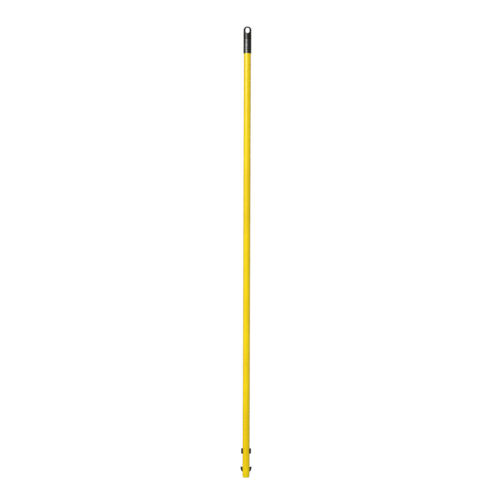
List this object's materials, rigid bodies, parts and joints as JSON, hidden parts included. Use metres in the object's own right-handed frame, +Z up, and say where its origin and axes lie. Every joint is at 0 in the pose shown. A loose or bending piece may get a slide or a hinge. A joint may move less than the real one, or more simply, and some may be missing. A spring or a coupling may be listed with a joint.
{
  "type": "roller extension pole",
  "caption": "Long straight painted tube pole with a black grip and hanging eye on top and a sprung squeeze latch with side buttons and barbs at the lower end.",
  "frame": {"origin": "centre of the flat face at the nose of the pole, its lower end", "axes": "+Z up the pole's axis to the hanging eye; the latches face +X and -X; the eye runs along Y and -Y is the front"},
  "size_m": [0.0366, 0.0262, 1.473],
  "materials": {
    "yellow_paint": "yellow powder coat, satin, slightly pebbled",
    "yellow_plastic": "yellow moulded plastic, satin",
    "black_plastic": "black moulded plastic, satin, fine grain",
    "black_nylon": "black glass-filled nylon, dull satin",
    "grey_nylon": "dark grey nylon, matt",
    "spring_steel": "drawn wire, bright",
    "pin_steel": "ground steel, bright",
    "screw_zinc": "zinc plated",
    "rivet_aluminium": "plain aluminium, satin"
  },
  "bodies": {
    "pole": {"pole_tube": "yellow_paint", "grip_sleeve": "black_plastic", "hang_cap": "black_plastic", "nose_plug": "yellow_plastic", "carrier_front_shell": "grey_nylon", "carrier_rear_shell": "grey_nylon", "left_pivot_pin": "pin_steel", "right_pivot_pin": "pin_steel", "left_latch_spring": "spring_steel", "right_latch_spring": "spring_steel", "carrier_screws": "screw_zinc", "nose_screws": "screw_zinc", "carrier_rivet": "rivet_aluminium", "cap_rivet": "rivet_aluminium"},
    "left_latch": {"left_latch_lever": "black_nylon", "left_release_button": "black_nylon"},
    "right_latch": {"right_latch_lever": "black_nylon", "right_release_button": "black_nylon"}
  },
  "joints": [
    {"name": "left_latch_press", "type": "hinge", "parent": "pole", "child": "left_latch", "pos_m": [-0.006, 0, 0.1246], "axis": [0, -1, 0], "range_deg": [0, 4.4], "stiffness_Nm_per_rad": 1.2, "springref_deg": -2.98, "deforming": ["left_latch_spring"]},
    {"name": "right_latch_press", "type": "hinge", "parent": "pole", "child": "right_latch", "pos_m": [0.006, 0, 0.1246], "axis": [0, 1, 0], "range_deg": [0, 4.4], "stiffness_Nm_per_rad": 1.2, "springref_deg": -2.98, "deforming": ["right_latch_spring"]}
  ]
}
